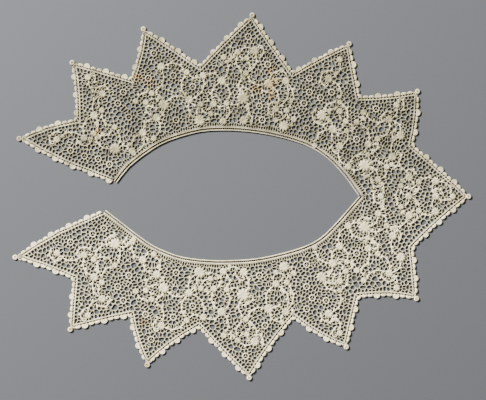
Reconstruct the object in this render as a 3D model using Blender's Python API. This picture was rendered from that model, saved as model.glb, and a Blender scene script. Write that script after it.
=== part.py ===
"""Bertha collar of ivory needle lace, laid out flat with its front open.

The collar is two nearly mirrored halves that meet at the centre back. Each half has an
openwork lace field with raised blossoms and a scalloped edging round its points, both
in a front and a back part, and a corded heading along the neck. X runs from the open
front to the centre back, Z is up, and the underside rests at Z = 0. Each half is drawn
with y as its distance from the centre line, and then placed on its own side of it.
"""

import math

import bmesh
import bpy
from mathutils import Vector

MM = 0.001

# Thickness of each worked piece, and the gap kept at every seam
FIELD_THICK = 1.2 * MM
EDGING_THICK = 1.5 * MM
BLOSSOM_RISE = 0.9 * MM
SEAM = 0.3 * MM

# Edging: a band beside the field, and low arches along it with a dome as every third
EDGING_BAND = 3.2 * MM
ARCH_WIDTH = 8.8 * MM
ARCH_RISE = 2.8 * MM
ARCH_ANGLES = (148, 90, 32)
DOME_WIDTH = 10.6 * MM
DOME_RISE = 5.4 * MM
DOME_ANGLES = (165, 115, 65, 15)
VALLEY_SHARE = 3.0 * MM

# The edging and the field of each half are worked in two parts that meet at a valley,
# given as the sides of the edge that each part has
EDGING_PARTS = {"front": range(0, 6), "back": range(6, 13)}
FIELD_SIDES_IN_FRONT = 8

# The knob on each tip, and how many arches part it from the first dome on each side
KNOB_RADIUS = 3.9 * MM
KNOB_SHARE = 7.0 * MM
KNOB_ANGLES = (-150, -100, -50, 0, 50, 100, 150)
ARCHES_AT_TIP = (2, 1, 2, 1, 2, 2, 2)

# Heading: two cords with a flat tape between them
HEADING_WIDTH = 5.8 * MM
HEADING_TAPE = 0.8 * MM
CORD_RISE = 1.1 * MM
NECK_STEP = 11.0 * MM

# Raised blossoms with notched petals
PETALS = 5
PETAL_NOTCH = 0.84
CROWN_SHARE = 0.66

# Cut gaps in rings round each blossom, as (distance beyond it, gaps in the ring)
GAP_RINGS = ((1.2 * MM, 6), (10.0 * MM, 9), (19.0 * MM, 12), (28.0 * MM, 16))
GAP_LENGTH = 6.4 * MM
GAP_WIDTH = 4.8 * MM
GAP_SIDES = 6
GAP_WALL = 1.8 * MM
GAP_APART = 15.8 * MM
MOST_GAPS = {"front": 95, "back": 54}

# The edge from the front to the centre back, tips and valleys in turn, as
# (x, y, outward bow of the side that leads there) in mm
UPPER_EDGE = (
    (-324.7, 83.5, 6.5),
    (-239.8, 112.3, 4.0),
    (-247.0, 195.8, -2.0),
    (-160.6, 171.4, 0.5),
    (-143.3, 244.8, -2.5),
    (-60.5, 190.0, 1.0),
    (15.1, 265.0, 1.5),
    (74.2, 180.7, -1.0),
    (156.2, 223.2, 1.5),
    (170.6, 145.4, 0.0),
    (255.6, 154.1, -2.0),
    (247.5, 74.4, 3.0),
    (330.5, 0.0, 1.0),
)
LOWER_EDGE = (
    (-330.5, 87.8, 6.5),
    (-244.1, 119.5, -1.0),
    (-249.8, 194.4, 0.5),
    (-162.0, 172.8, -1.0),
    (-137.5, 246.2, 3.5),
    (-62.6, 190.1, -3.5),
    (10.8, 265.0, 1.0),
    (74.2, 176.7, -2.5),
    (151.9, 220.3, 3.5),
    (168.8, 146.4, 0.0),
    (254.2, 149.8, -4.0),
    (247.5, 74.4, 0.5),
    (330.5, 0.0, -2.0),
)

# The neckline from the front end to the centre back, as (x, y) in mm
UPPER_NECK = (
    (-180.0, 19.6),
    (-163.4, 40.7),
    (-140.4, 59.6),
    (-117.4, 74.2),
    (-94.3, 83.7),
    (-59.8, 92.7),
    (-25.2, 94.8),
    (9.4, 92.8),
    (43.9, 87.4),
    (78.5, 78.2),
    (101.5, 68.6),
    (124.6, 53.1),
    (147.6, 29.0),
    (168.4, 0.0),
)
LOWER_NECK = (
    (-195.7, 19.6),
    (-175.0, 35.6),
    (-151.9, 53.5),
    (-128.9, 69.6),
    (-105.8, 80.3),
    (-82.8, 87.3),
    (-48.2, 91.3),
    (-13.7, 91.5),
    (20.9, 89.0),
    (55.4, 82.0),
    (90.0, 71.6),
    (113.0, 59.3),
    (136.1, 37.0),
    (168.4, 0.0),
)

# The raised blossoms of each half, as (x, y, diameter) in mm
BLOSSOMS = (
    (-266.0, 82.0, 9.0),
    (-221.5, 171.5, 8.5),
    (-226.8, 84.2, 9.5),
    (-212.4, 116.6, 11.0),
    (-200.9, 147.6, 10.0),
    (-182.2, 68.4, 14.5),
    (-157.8, 65.6, 9.0),
    (-142.5, 91.4, 10.5),
    (-122.4, 113.0, 11.0),
    (-112.3, 131.8, 14.0),
    (-115.9, 186.5, 10.5),
    (-75.6, 139.0, 10.5),
    (-55.4, 174.2, 9.5),
    (-60.5, 109.4, 14.5),
    (-40.3, 133.2, 9.0),
    (-26.6, 108.0, 9.5),
    (-28.8, 166.3, 11.5),
    (2.2, 141.8, 16.5),
    (2.9, 109.4, 11.5),
    (18.7, 209.5, 12.0),
    (38.9, 162.0, 12.5),
    (49.0, 126.0, 9.5),
    (63.4, 166.3, 10.5),
    (61.2, 101.5, 13.5),
    (115.2, 116.6, 14.0),
    (125.3, 169.2, 11.0),
    (141.0, 197.0, 8.5),
    (141.1, 122.4, 9.0),
    (131.0, 96.5, 11.5),
    (141.1, 72.0, 10.5),
    (153.0, 42.5, 9.5),
    (177.1, 44.6, 16.0),
    (182.2, 74.9, 9.5),
    (196.6, 24.5, 9.0),
    (212.4, 110.9, 10.5),
    (223.0, 131.5, 8.5),
    (217.4, 56.9, 10.5),
    (229.0, 87.8, 12.0),
    (241.2, 27.4, 10.5),
    (279.0, 22.0, 10.5),
)

FIELD_COLOUR = (0.70, 0.66, 0.54)
EDGING_COLOUR = (0.74, 0.71, 0.58)
HEADING_COLOUR = (0.66, 0.61, 0.52)


def in_metres(rows):
    return [Vector(row[:2]) * MM for row in rows]


def left_of(a, b):
    """Unit normal on the left of the way from a to b, which is the collar's outside."""
    way = (b - a).normalized()
    return Vector((-way.y, way.x))


def offset(path, distance):
    """The open path moved to its right by distance, with its corners kept sharp."""
    moved = []
    for i, point in enumerate(path):
        normals = []
        if i > 0:
            normals.append(left_of(path[i - 1], point))
        if i < len(path) - 1:
            normals.append(left_of(point, path[i + 1]))
        mean = sum(normals, Vector((0, 0))).normalized()
        moved.append(point - mean * (distance / mean.dot(normals[0])))
    return moved


def to_centre_line(path):
    """The path with its last leg stretched or cut to end half a seam from the centre."""
    a, b = path[-2], path[-1]
    reach = (SEAM / 2 - a.y) / (b.y - a.y)
    return path[:-1] + [a + (b - a) * reach]


def smooth(points, step):
    """Points about one step apart on a smooth curve through the given ones."""
    ends = [points[0] * 2 - points[1], *points, points[-1] * 2 - points[-2]]
    curve = []
    for p0, p1, p2, p3 in zip(ends, ends[1:], ends[2:], ends[3:]):
        parts = max(2, round((p2 - p1).length / step))
        for k in range(parts):
            t = k / parts
            bend = (p0 * 2 - p1 * 5 + p2 * 4 - p3) * t**2
            twist = (p1 * 3 - p0 - p2 * 3 + p3) * t**3
            curve.append((p1 * 2 + (p2 - p0) * t + bend + twist) / 2)
    return curve + [points[-1]]


def along(path, distance):
    """The point that far along the path, and the outward normal there."""
    for a, b in zip(path, path[1:]):
        leg = (b - a).length
        if distance <= leg:
            return a + (b - a) * (distance / leg), left_of(a, b)
        distance -= leg
    return path[-1], left_of(path[-2], path[-1])


def length_of(path):
    return sum((b - a).length for a, b in zip(path, path[1:]))


def distance_to(path, point):
    """Distance from the point to the nearest leg of the path."""
    nearest = math.inf
    for a, b in zip(path, path[1:]):
        leg = b - a
        share = max(0.0, min(1.0, (point - a).dot(leg) / leg.length_squared))
        nearest = min(nearest, (a + leg * share - point).length)
    return nearest


def inside(loop, point):
    crossings = 0
    for a, b in zip(loop, loop[1:] + loop[:1]):
        if (a.y > point.y) != (b.y > point.y):
            at = a.x + (point.y - a.y) * (b.x - a.x) / (b.y - a.y)
            crossings += at > point.x
    return crossings % 2 == 1


def crossing(path, other):
    """(leg of path, leg of other, point) where two open paths cross."""
    for i, (a, b) in enumerate(zip(path, path[1:])):
        for j, (c, d) in enumerate(zip(other, other[1:])):
            u, v, w = b - a, d - c, c - a
            turn = u.cross(v)
            if turn == 0:
                continue
            s, t = w.cross(v) / turn, w.cross(u) / turn
            if 0 <= s <= 1 and 0 <= t <= 1:
                return i, j, a + u * s
    raise ValueError("the paths do not cross")


def bowed(a, b, bow, parts=4):
    """The points after a, up to b, on a side that bulges outwards by bow."""
    out = left_of(a, b)
    shares = [k / parts for k in range(1, parts + 1)]
    return [a.lerp(b, t) + out * (bow * math.sin(math.pi * t)) for t in shares]


def trimmed(side, start, end):
    """The side without its first and last stretch."""
    total = length_of(side)
    first, last = along(side, start)[0], along(side, total - end)[0]
    return [first, *side[1:-1], last]


def scallops(length, arches, tip_last):
    """(start, width, whether a dome) of each scallop along one side."""
    count = round(3 * length / (2 * ARCH_WIDTH + DOME_WIDTH))
    domes = [(i - arches) % 3 == 0 for i in range(count)]
    if tip_last:
        domes.reverse()
    widths = [DOME_WIDTH if dome else ARCH_WIDTH for dome in domes]
    fit = length / sum(widths)
    starts = [sum(widths[:i]) * fit for i in range(count)]
    return [(s, w * fit, dome) for s, w, dome in zip(starts, widths, domes)]


def scalloped(side, arches, tip_last):
    """The scalloped line along one side, with arches between its tip and first dome."""
    points = []
    for start, width, dome in scallops(length_of(side), arches, tip_last):
        rise, angles = (DOME_RISE, DOME_ANGLES) if dome else (ARCH_RISE, ARCH_ANGLES)
        foot, _ = along(side, start)
        middle, out = along(side, start + width / 2)
        way = Vector((out.y, -out.x))
        points.append(foot)
        for angle in angles:
            turn = math.radians(angle)
            reach = way * (width / 2 * math.cos(turn))
            points.append(middle + reach + out * (rise * math.sin(turn)))
    return points + [side[-1]]


def knob(tip, before, after, angles):
    """Round knob that ends at a tip, pointing midway between its two sides."""
    out = ((tip - before).normalized() + (tip - after).normalized()).normalized()
    way = Vector((out.y, -out.x))
    centre = tip - out * KNOB_RADIUS
    points = []
    for angle in angles:
        turn = math.radians(angle)
        reach = way * (KNOB_RADIUS * math.sin(turn))
        points.append(centre + reach + out * (KNOB_RADIUS * math.cos(turn)))
    return points


def edge_sides(edge, neck):
    """The line under the scallops, as one list of points for each side."""
    corners = [neck[0], *in_metres(edge)]
    path = [neck[0]]
    for a, b, (_, _, bow) in zip(corners, corners[1:], edge):
        path += bowed(a, b, bow * MM)
    line = to_centre_line(offset(path, ARCH_RISE))
    line[0] = neck[0]
    parts = (len(line) - 1) // len(edge)
    return [line[i : i + parts + 1] for i in range(0, len(line) - 1, parts)]


def joined(sides):
    """All sides as one path."""
    return sides[0] + [point for side in sides[1:] for point in side[1:]]


def valley_seam(base, inner, way):
    """The two ends of a cut that starts at a valley, moved sideways by half a seam."""
    shift = left_of(base, inner) * (way * SEAM / 2)
    return [base + shift, inner + shift]


def edging_outline(sides, edge, part):
    """Closed outline of one part of the edging: scallops outside, a plain line inside."""
    start = HEADING_WIDTH + 3 * SEAM
    corners = in_metres(edge)
    path = trimmed(joined(sides), start, 0.0)
    line = to_centre_line(offset(path, EDGING_BAND))
    parts = (len(path) - 1) // len(sides)
    first, last = parts * part[0], parts * (part[-1] + 1)
    inner = line[first : last + 1]
    outer = []
    if first > 0:
        base, inner[0] = valley_seam(path[first], line[first], 1)
        outer.append(base)
    for i in part:
        side = sides[i]
        arches = ARCHES_AT_TIP[i // 2]
        if i % 2 == 1:
            outer += scalloped(trimmed(side, KNOB_SHARE, VALLEY_SHARE), arches, False)
            continue
        piece = trimmed(side, VALLEY_SHARE if i else start, KNOB_SHARE)
        outer += scalloped(piece, arches, True)
        if i < len(sides) - 1:
            outer += knob(corners[i], side[0], sides[i + 1][-1], KNOB_ANGLES)
        else:
            mirrored = Vector((side[0].x, -side[0].y))
            half = [angle for angle in KNOB_ANGLES if angle < 0]
            outer += knob(corners[i], side[0], mirrored, half)
            outer.append(Vector((corners[i].x, SEAM / 2)))
    if last < len(path) - 1:
        base, inner[-1] = valley_seam(path[last], line[last], -1)
        outer.append(base)
    return outer + inner[::-1]


def field_outlines(sides, neck):
    """Closed outline of each part of the field, a seam inside the edging and heading."""
    rim = to_centre_line(offset(joined(sides), EDGING_BAND + SEAM))
    neck_side = to_centre_line(offset(neck, -HEADING_WIDTH - SEAM))
    i, j, corner = crossing(rim, neck_side)
    valley = (len(rim) - 1) // len(sides) * FIELD_SIDES_IN_FRONT
    base = rim[valley]
    n = min(range(len(neck_side)), key=lambda k: (neck_side[k] - base).length)
    front_end = valley_seam(base, neck_side[n], -1)
    back_end = valley_seam(base, neck_side[n], 1)
    front = [corner, *rim[i + 1 : valley], *front_end, *neck_side[n - 1 : j : -1]]
    back = [back_end[0], *rim[valley + 1 :], *neck_side[:n:-1], back_end[1]]
    return {"front": front, "back": back}


def blossom_rings(centre, radius, turn):
    """Foot of a raised blossom with notched petals, and its crown, one point a petal."""
    foot, crown = [], []
    for k in range(2 * PETALS):
        angle = turn + math.pi * k / PETALS
        way = Vector((math.cos(angle), math.sin(angle)))
        foot.append(centre + way * (radius if k % 2 == 0 else radius * PETAL_NOTCH))
        if k % 2 == 0:
            crown.append(centre + way * (radius * CROWN_SHARE))
    return foot, crown


def gap_places(blossoms, outline, most):
    """(centre, outward way) of each cut gap, in rings round the blossoms."""
    closed = outline + outline[:1]
    half = GAP_LENGTH / 2
    spots = []
    for beyond, count in GAP_RINGS:
        for k in range(count):
            for n, (centre, radius) in enumerate(blossoms):
                angle = 2 * math.pi * (k + 0.5 * (n % 2)) / count
                way = Vector((math.cos(angle), math.sin(angle)))
                spots.append((centre + way * (radius + beyond + half), way))
    places = []
    for spot, way in spots:
        if not inside(outline, spot) or distance_to(closed, spot) < half + GAP_WALL:
            continue
        if any((spot - c).length < r + half + 0.5 * GAP_WALL for c, r in blossoms):
            continue
        if all((spot - p).length > GAP_APART for p, _ in places):
            places.append((spot, way))
    return places[:most]


def gap_outline(centre, way):
    """Six-sided gap, longer along its way out from the blossom."""
    across = Vector((-way.y, way.x))
    points = []
    for k in range(GAP_SIDES):
        angle = 2 * math.pi * k / GAP_SIDES
        reach = way * (GAP_LENGTH / 2 * math.cos(angle))
        points.append(centre + reach + across * (GAP_WIDTH / 2 * math.sin(angle)))
    return points


def ring(bm, points, z, side):
    """Vertices of one loop at height z, on the half's own side of the centre line."""
    return [bm.verts.new((p.x, p.y * side, z)) for p in points]


def edges_round(bm, verts):
    return [bm.edges.new(pair) for pair in zip(verts, verts[1:] + verts[:1])]


def finish(name, bm, material):
    """Turns the faces outwards and links the closed wall as one object."""
    bmesh.ops.triangulate(bm, faces=[f for f in bm.faces if len(f.verts) > 4])
    bmesh.ops.recalc_face_normals(bm, faces=bm.faces)
    mesh = bpy.data.meshes.new(name)
    bm.to_mesh(mesh)
    bm.free()
    mesh.materials.append(material)
    thing = bpy.data.objects.new(name, mesh)
    bpy.context.scene.collection.objects.link(thing)


def wall(name, outline, gaps, blossoms, thick, side, material):
    """Flat wall with cut gaps, and blossoms raised on its upper face only."""
    bm = bmesh.new()
    top_edges, low_edges = [], []
    for loop in [outline, *gaps]:
        top = ring(bm, loop, thick, side)
        low = ring(bm, loop, 0.0, side)
        top_edges += edges_round(bm, top)
        low_edges += edges_round(bm, low)
        for i in range(len(loop)):
            bm.faces.new((low[i - 1], low[i], top[i], top[i - 1]))
    for foot_points, crown_points in blossoms:
        foot = ring(bm, foot_points, thick, side)
        crown = ring(bm, crown_points, thick + BLOSSOM_RISE, side)
        top_edges += edges_round(bm, foot)
        for i, peak in enumerate(crown):
            last_notch, petal, notch = foot[2 * i - 1], foot[2 * i], foot[2 * i + 1]
            bm.faces.new((last_notch, petal, peak))
            bm.faces.new((petal, notch, peak))
            bm.faces.new((last_notch, peak, crown[i - 1]))
        bm.faces.new(crown)
    bmesh.ops.triangle_fill(bm, use_beauty=True, edges=top_edges, normal=(0, 0, 1))
    bmesh.ops.triangle_fill(bm, use_beauty=True, edges=low_edges, normal=(0, 0, -1))
    finish(name, bm, material)


def heading(name, neck, side, material):
    """Neck heading: a flat tape with a raised cord along each edge."""
    shares = (0.0, 0.0, 0.12, 0.26, 0.38, 0.62, 0.74, 0.88, 1.0, 1.0)
    high = HEADING_TAPE + CORD_RISE
    heights = (0.0, 0.6 * high, high, 0.85 * high, HEADING_TAPE)
    heights += heights[::-1]
    rows = [to_centre_line(offset(neck, -HEADING_WIDTH * share)) for share in shares]
    bm = bmesh.new()
    sections = []
    for k in range(len(neck)):
        section = []
        for row, z in zip(rows, heights):
            section.append(bm.verts.new((row[k].x, row[k].y * side, z)))
        sections.append(section)
    for a, b in zip(sections, sections[1:]):
        for i in range(len(a)):
            bm.faces.new((a[i - 1], a[i], b[i], b[i - 1]))
    bm.faces.new(sections[0])
    bm.faces.new(sections[-1])
    finish(name, bm, material)


def thread(name, colour):
    material = bpy.data.materials.new(name)
    material.use_nodes = True
    shader = material.node_tree.nodes["Principled BSDF"]
    shader.inputs["Base Color"].default_value = (*colour, 1.0)
    shader.inputs["Roughness"].default_value = 0.85
    shader.inputs["Metallic"].default_value = 0.0
    return material


def build_half(name, side, edge, neck_rows, threads):
    """The field, edging and heading of one half of the collar."""
    neck = smooth(in_metres(neck_rows), NECK_STEP)
    sides = edge_sides(edge, neck)
    every = [(Vector((x, y)) * MM, size / 2 * MM) for x, y, size in BLOSSOMS]
    for part, outline in field_outlines(sides, neck).items():
        blossoms = [(c, r) for c, r in every if inside(outline, c)]
        places = gap_places(blossoms, outline, MOST_GAPS[part])
        gaps = [gap_outline(*place) for place in places]
        rings = [blossom_rings(c, r, n) for n, (c, r) in enumerate(blossoms)]
        part_name = f"lace_{name}_{part}"
        wall(part_name, outline, gaps, rings, FIELD_THICK, side, threads["field"])
        print(f"{part_name}: {len(gaps)} gaps, {len(rings)} blossoms")
    for part, part_sides in EDGING_PARTS.items():
        band = edging_outline(sides, edge, part_sides)
        part_name = f"edging_{name}_{part}"
        wall(part_name, band, [], [], EDGING_THICK, side, threads["edging"])
    heading(f"heading_{name}", neck, side, threads["heading"])


def main():
    for old in list(bpy.data.objects):
        bpy.data.objects.remove(old)
    threads = {
        "field": thread("field_thread", FIELD_COLOUR),
        "edging": thread("edging_thread", EDGING_COLOUR),
        "heading": thread("heading_thread", HEADING_COLOUR),
    }
    build_half("upper", 1, UPPER_EDGE, UPPER_NECK, threads)
    build_half("lower", -1, LOWER_EDGE, LOWER_NECK, threads)


if __name__ == "__main__":
    main()
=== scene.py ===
import math

import bmesh
import bpy
import numpy as np
from mathutils import Matrix, Vector
from mathutils.geometry import delaunay_2d_cdt


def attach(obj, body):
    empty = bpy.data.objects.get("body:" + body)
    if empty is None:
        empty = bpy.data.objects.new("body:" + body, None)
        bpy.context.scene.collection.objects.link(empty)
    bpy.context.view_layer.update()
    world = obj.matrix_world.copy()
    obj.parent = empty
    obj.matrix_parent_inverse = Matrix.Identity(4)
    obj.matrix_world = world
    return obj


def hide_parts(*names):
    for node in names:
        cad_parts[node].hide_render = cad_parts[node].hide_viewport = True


# Bertha collar of ivory needle lace, laid out flat. X runs from the open front to the
# centre back, and the underside lies on the floor at Z = 0.

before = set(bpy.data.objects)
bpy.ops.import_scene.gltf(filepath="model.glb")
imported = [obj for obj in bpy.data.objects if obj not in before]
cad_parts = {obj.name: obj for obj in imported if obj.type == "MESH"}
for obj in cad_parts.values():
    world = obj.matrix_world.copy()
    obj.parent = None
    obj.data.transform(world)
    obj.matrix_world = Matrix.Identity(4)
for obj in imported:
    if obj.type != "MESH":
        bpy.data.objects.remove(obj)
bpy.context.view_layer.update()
bpy.ops.object.select_all(action="DESELECT")
mm = 0.001

# The collar's own sizes, in mm
collar = {
    "halfSeam": 0.15,
    "band": 3.9,  # width of the edging under its scallops
    "heading": 5.8,
    "neckStep": 11.0,  # from point to point of the neckline
    "archWidth": 8.8,
    "archRise": 2.8,
    "domeWidth": 10.6,
    "domeRise": 5.4,
    "valleyShare": 3.0,
    "knobRadius": 3.9,
    "knobShare": 7.0,
    "archesAtTip": (2, 1, 2, 1, 2, 2, 2),
}

# Tips and valleys of the points in turn: x, distance from the centre line, bow before it
pointRows = {
    "upper": (
        (-324.7, 83.5, 6.5), (-239.8, 112.3, 4.0), (-247.0, 195.8, -2.0),
        (-160.6, 171.4, 0.5), (-143.3, 244.8, -2.5), (-60.5, 190.0, 1.0),
        (15.1, 265.0, 1.5), (74.2, 180.7, -1.0), (156.2, 223.2, 1.5),
        (170.6, 145.4, 0.0), (255.6, 154.1, -2.0), (247.5, 74.4, 3.0),
        (330.5, 0.0, 1.0),
    ),
    "lower": (
        (-330.5, 87.8, 6.5), (-244.1, 119.5, -1.0), (-249.8, 194.4, 0.5),
        (-162.0, 172.8, -1.0), (-137.5, 246.2, 3.5), (-62.6, 190.1, -3.5),
        (10.8, 265.0, 1.0), (74.2, 176.7, -2.5), (151.9, 220.3, 3.5),
        (168.8, 146.4, 0.0), (254.2, 149.8, -4.0), (247.5, 74.4, 0.5),
        (330.5, 0.0, -2.0),
    ),
}

# Neckline from the front end to the centre back: x, distance from the centre line
neckRows = {
    "upper": (
        (-180.0, 19.6), (-163.4, 40.7), (-140.4, 59.6),
        (-117.4, 74.2), (-94.3, 83.7), (-59.8, 92.7),
        (-25.2, 94.8), (9.4, 92.8), (43.9, 87.4),
        (78.5, 78.2), (101.5, 68.6), (124.6, 53.1),
        (147.6, 29.0), (168.4, 0.0),
    ),
    "lower": (
        (-195.7, 19.6), (-175.0, 35.6), (-151.9, 53.5),
        (-128.9, 69.6), (-105.8, 80.3), (-82.8, 87.3),
        (-48.2, 91.3), (-13.7, 91.5), (20.9, 89.0),
        (55.4, 82.0), (90.0, 71.6), (113.0, 59.3),
        (136.1, 37.0), (168.4, 0.0),
    ),
}

# Large blossoms of each half: x, distance from the centre line, diameter
blossomRows = (
    (-266.0, 82.0, 9.0), (-221.5, 171.5, 8.5), (-226.8, 84.2, 9.5),
    (-212.4, 116.6, 11.0), (-200.9, 147.6, 10.0), (-182.2, 68.4, 14.5),
    (-157.8, 65.6, 9.0), (-142.5, 91.4, 10.5), (-122.4, 113.0, 11.0),
    (-112.3, 131.8, 14.0), (-115.9, 186.5, 10.5), (-75.6, 139.0, 10.5),
    (-55.4, 174.2, 9.5), (-60.5, 109.4, 14.5), (-40.3, 133.2, 9.0),
    (-26.6, 108.0, 9.5), (-28.8, 166.3, 11.5), (2.2, 141.8, 16.5),
    (2.9, 109.4, 11.5), (18.7, 209.5, 12.0), (38.9, 162.0, 12.5),
    (49.0, 126.0, 9.5), (63.4, 166.3, 10.5), (61.2, 101.5, 13.5),
    (115.2, 116.6, 14.0), (125.3, 169.2, 11.0), (141.0, 197.0, 8.5),
    (141.1, 122.4, 9.0), (131.0, 96.5, 11.5), (141.1, 72.0, 10.5),
    (153.0, 42.5, 9.5), (177.1, 44.6, 16.0), (182.2, 74.9, 9.5),
    (196.6, 24.5, 9.0), (212.4, 110.9, 10.5), (223.0, 131.5, 8.5),
    (217.4, 56.9, 10.5), (229.0, 87.8, 12.0), (241.2, 27.4, 10.5),
    (279.0, 22.0, 10.5),
)

# Small flowers between them, and the flowers on the centre back line
floretRows = (
    (-213.1, 90.7, 8.0), (-201.6, 123.8, 8.0), (-182.9, 99.4, 8.0),
    (-155.5, 62.0, 7.0), (-152.6, 136.8, 8.0), (-138.2, 135.4, 8.0),
    (-129.6, 148.3, 8.0), (-126.7, 83.5, 8.0), (-79.2, 178.6, 8.0),
    (-59.0, 132.5, 8.0), (-44.6, 118.8, 7.5), (-25.9, 200.2, 8.0),
    (-21.6, 134.0, 8.0), (-5.8, 207.4, 8.0), (5.8, 177.1, 8.0),
    (7.2, 198.7, 7.5), (49.0, 109.8, 7.0), (57.6, 181.4, 7.0),
    (64.8, 123.8, 8.0), (74.9, 110.9, 8.0), (105.1, 73.4, 7.5),
    (141.1, 135.4, 7.0), (149.8, 108.0, 8.0), (151.2, 94.3, 7.0),
    (165.6, 106.6, 8.0), (175.7, 120.9, 8.0), (181.4, 59.8, 7.0),
    (195.8, 82.8, 8.0), (208.8, 42.5, 8.0), (229.0, 15.1, 7.5),
    (254.9, 20.9, 8.0),
)
axisRows = ((200.2, 0.0, 9.0), (240.5, 0.0, 10.0), (279.4, 0.0, 9.5), (303.8, 0.0, 8.0))


# Paths, worked in one half with its distance from the centre line as y


def leftOf(a, b):
    way = (b - a).normalized()
    return Vector((-way.y, way.x))


def offsetPath(path, distance):  # moved to its right, with its corners kept sharp
    moved = []
    for i, point in enumerate(path):
        normals = []
        if i > 0:
            normals.append(leftOf(path[i - 1], point))
        if i < len(path) - 1:
            normals.append(leftOf(point, path[i + 1]))
        mean = sum(normals, Vector((0, 0))).normalized()
        moved.append(point - mean * (distance / mean.dot(normals[0])))
    return moved


def toCentreLine(path):  # last leg stretched or cut to end at the seam
    a, b = path[-2], path[-1]
    reach = (collar["halfSeam"] * mm - a.y) / (b.y - a.y)
    return path[:-1] + [a + (b - a) * reach]


def smoothPath(points, step):
    ends = [points[0] * 2 - points[1], *points, points[-1] * 2 - points[-2]]
    curve = []
    for p0, p1, p2, p3 in zip(ends, ends[1:], ends[2:], ends[3:]):
        parts = max(2, round((p2 - p1).length / step))
        for k in range(parts):
            t = k / parts
            bend = (p0 * 2 - p1 * 5 + p2 * 4 - p3) * t**2
            twist = (p1 * 3 - p0 - p2 * 3 + p3) * t**3
            curve.append((p1 * 2 + (p2 - p0) * t + bend + twist) / 2)
    return curve + [points[-1]]


def pathLength(path):
    return sum((b - a).length for a, b in zip(path, path[1:]))


def alongPath(path, distance):
    for a, b in zip(path, path[1:]):
        leg = (b - a).length
        if distance <= leg:
            return a + (b - a) * (distance / leg), leftOf(a, b)
        distance -= leg
    return path[-1], leftOf(path[-2], path[-1])


def inParts(path, parts):
    total = pathLength(path)
    return [alongPath(path, total * k / parts)[0] for k in range(parts + 1)]


def evenly(path, step):  # the same path in even steps
    return inParts(path, max(2, round(pathLength(path) / step)))


def trimmedPath(path, start, end):
    total = pathLength(path)
    return [alongPath(path, start)[0], *path[1:-1], alongPath(path, total - end)[0]]


def bowedSide(a, b, bow, parts=4):
    out = leftOf(a, b)
    shares = [k / parts for k in range(1, parts + 1)]
    return [a.lerp(b, t) + out * (bow * math.sin(math.pi * t)) for t in shares]


def joinSides(sides):
    return sides[0] + [point for side in sides[1:] for point in side[1:]]


def pathCrossing(path, other):
    for i, (a, b) in enumerate(zip(path, path[1:])):
        for j, (c, d) in enumerate(zip(other, other[1:])):
            u, v, w = b - a, d - c, c - a
            turn = u.cross(v)
            if turn == 0:
                continue
            s, t = w.cross(v) / turn, w.cross(u) / turn
            if 0 <= s <= 1 and 0 <= t <= 1:
                return i, j, a + u * s
    raise ValueError("the edge and the neckline do not meet")


def layOutHalf(name):  # edge sides, their inner line, the neckline and the field's border
    rows = pointRows[name]
    neck = smoothPath([Vector(row) * mm for row in neckRows[name]], collar["neckStep"] * mm)
    corners = [neck[0]] + [Vector(row[:2]) * mm for row in rows]
    path = [neck[0]]
    for a, b, row in zip(corners, corners[1:], rows):
        path += bowedSide(a, b, row[2] * mm)
    line = toCentreLine(offsetPath(path, collar["archRise"] * mm))
    line[0] = neck[0]
    parts = (len(line) - 1) // len(rows)
    starts = range(0, len(line) - 1, parts)
    seam = 2 * collar["halfSeam"]
    inner = toCentreLine(offsetPath(line, collar["band"] * mm))
    rim = toCentreLine(offsetPath(line, (collar["band"] + seam) * mm))
    neckSide = toCentreLine(offsetPath(neck, -(collar["heading"] + seam) * mm))
    i, j, corner = pathCrossing(rim, neckSide)
    return {
        "corners": corners[1:],
        "neck": neck,
        "sides": [line[k : k + parts + 1] for k in starts],
        "insides": [inner[k : k + parts + 1] for k in starts],
        "rim": [corner, *rim[i + 1 :]],
        "neckSide": [corner, *neckSide[j + 1 :]],
    }


halves = {"upper": layOutHalf("upper"), "lower": layOutHalf("lower")}
signs = {"upper": 1, "lower": -1}


def onSide(points, sign):  # half points as rows of x and y on their own side
    return np.array([(p.x, p.y * sign) for p in points])


fieldLoop = np.concatenate(
    [
        onSide(halves["upper"]["rim"], 1),
        onSide(halves["lower"]["rim"][::-1], -1),
        onSide(halves["lower"]["neckSide"][1:], -1),
        onSide(halves["upper"]["neckSide"][:0:-1], 1),
    ]
)


def insideLoop(points, loop):
    hits = np.zeros(len(points), int)
    for a, b in zip(loop, np.roll(loop, -1, axis=0)):
        spans = (a[1] > points[:, 1]) != (b[1] > points[:, 1])
        rise = b[1] - a[1] if b[1] != a[1] else 1.0
        at = a[0] + (points[:, 1] - a[1]) * (b[0] - a[0]) / rise
        hits += spans & (at > points[:, 0])
    return hits % 2 == 1


def nearestOnLoop(points, loop):  # nearest point of the border, and how far it is
    best = np.full(len(points), np.inf)
    foot = np.zeros_like(points)
    for a, b in zip(loop, np.roll(loop, -1, axis=0)):
        leg = b - a
        share = np.clip((points - a) @ leg / max(leg @ leg, 1e-18), 0, 1)
        spot = a + share[:, None] * leg
        far = np.hypot(*(points - spot).T)
        nearer = far < best
        best[nearer], foot[nearer] = far[nearer], spot[nearer]
    return foot, best


def deepInField(points, least):  # in the field, and so many mm from its border
    return insideLoop(points, fieldLoop) & (nearestOnLoop(points, fieldLoop)[1] > least * mm)


def fieldGrid(across, along):  # rows of spots over the field's box
    low, high = fieldLoop.min(axis=0), fieldLoop.max(axis=0)
    xs, ys = np.arange(low[0], high[0], across), np.arange(low[1], high[1], along)
    return np.stack(np.meshgrid(xs, ys), axis=-1)


def distances(points, others):  # from each point to each of the others
    return np.hypot(*(points[:, None] - others[None]).transpose(2, 0, 1))


def clearOf(points, others, gap):
    if not len(others):
        return np.ones(len(points), bool)
    return distances(points, others).min(axis=1) > gap


def fromFlowers(points, ones):  # from each point to the nearest rim of those flowers
    return (distances(points, ones[:, :2]) - ones[:, 2] / 2).min(axis=1)


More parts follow.
